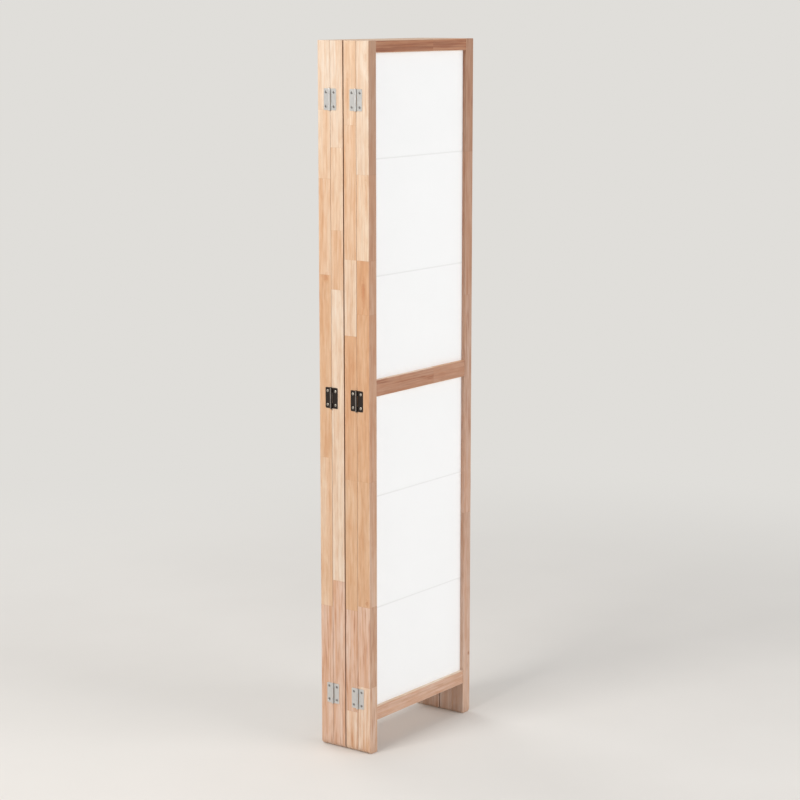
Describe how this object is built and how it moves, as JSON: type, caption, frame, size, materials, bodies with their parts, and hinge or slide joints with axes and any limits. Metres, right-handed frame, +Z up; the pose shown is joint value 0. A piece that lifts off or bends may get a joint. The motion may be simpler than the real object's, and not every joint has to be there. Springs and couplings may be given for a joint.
{
  "type": "folding room divider",
  "caption": "Folding room divider of hinged wooden panels with white sheet panes and a middle rail, standing on its stile ends, folded flat in a zigzag.",
  "frame": {"origin": "on the floor, under the middle of the folded stack", "axes": "+X along the panels, towards the edge with one line of hinges; +Y through the stack, from panel 1 to panel 4; +Z up"},
  "size_m": [0.4312, 0.1478, 1.7],
  "materials": {
    "wood": "satin lacquer over edge-glued softwood staves",
    "sheet": "matt, close white non-woven sheet",
    "bright_metal": "nickel plated",
    "dark_metal": "black, half gloss"
  },
  "bodies": {
    "panel_1": {"panel_1_left_stile": "wood", "panel_1_right_stile": "wood", "panel_1_top_rail": "wood", "panel_1_middle_rail": "wood", "panel_1_bottom_rail": "wood", "panel_1_upper_sheet": "sheet", "panel_1_lower_sheet": "sheet", "panel_1_beads": "wood", "panel_1_battens": "wood", "panel_1_hinge_screws": "bright_metal", "panel_1_left_leaves": "bright_metal", "panel_1_left_middle_leaf": "dark_metal", "hinge_pins_1_2": "bright_metal", "middle_hinge_pin_1_2": "dark_metal"},
    "panel_2": {"panel_2_left_stile": "wood", "panel_2_right_stile": "wood", "panel_2_top_rail": "wood", "panel_2_middle_rail": "wood", "panel_2_bottom_rail": "wood", "panel_2_upper_sheet": "sheet", "panel_2_lower_sheet": "sheet", "panel_2_beads": "wood", "panel_2_battens": "wood", "panel_2_hinge_screws": "bright_metal", "panel_2_left_leaves": "bright_metal", "panel_2_left_middle_leaf": "dark_metal", "panel_2_right_leaves": "bright_metal", "panel_2_right_middle_leaf": "dark_metal", "hinge_pins_2_3": "bright_metal", "middle_hinge_pin_2_3": "dark_metal"},
    "panel_3": {"panel_3_left_stile": "wood", "panel_3_right_stile": "wood", "panel_3_top_rail": "wood", "panel_3_middle_rail": "wood", "panel_3_bottom_rail": "wood", "panel_3_upper_sheet": "sheet", "panel_3_lower_sheet": "sheet", "panel_3_beads": "wood", "panel_3_battens": "wood", "panel_3_hinge_screws": "bright_metal", "panel_3_left_leaves": "bright_metal", "panel_3_left_middle_leaf": "dark_metal", "panel_3_right_leaves": "bright_metal", "panel_3_right_middle_leaf": "dark_metal", "hinge_pins_3_4": "bright_metal", "middle_hinge_pin_3_4": "dark_metal"},
    "panel_4": {"panel_4_left_stile": "wood", "panel_4_right_stile": "wood", "panel_4_top_rail": "wood", "panel_4_middle_rail": "wood", "panel_4_bottom_rail": "wood", "panel_4_upper_sheet": "sheet", "panel_4_lower_sheet": "sheet", "panel_4_beads": "wood", "panel_4_battens": "wood", "panel_4_hinge_screws": "bright_metal", "panel_4_left_leaves": "bright_metal", "panel_4_left_middle_leaf": "dark_metal"}
  },
  "joints": [
    {"name": "fold_1_2", "type": "hinge", "parent": "panel_2", "child": "panel_1", "pos_m": [-0.213, -0.0377, 0], "axis": [0, 0, -1], "range_deg": [0, 180]},
    {"name": "fold_2_3", "type": "hinge", "parent": "panel_2", "child": "panel_3", "pos_m": [0.213, 0, 0], "axis": [0, 0, -1], "range_deg": [0, 180]},
    {"name": "fold_3_4", "type": "hinge", "parent": "panel_3", "child": "panel_4", "pos_m": [-0.213, 0.0377, 0], "axis": [0, 0, 1], "range_deg": [0, 180]}
  ]
}
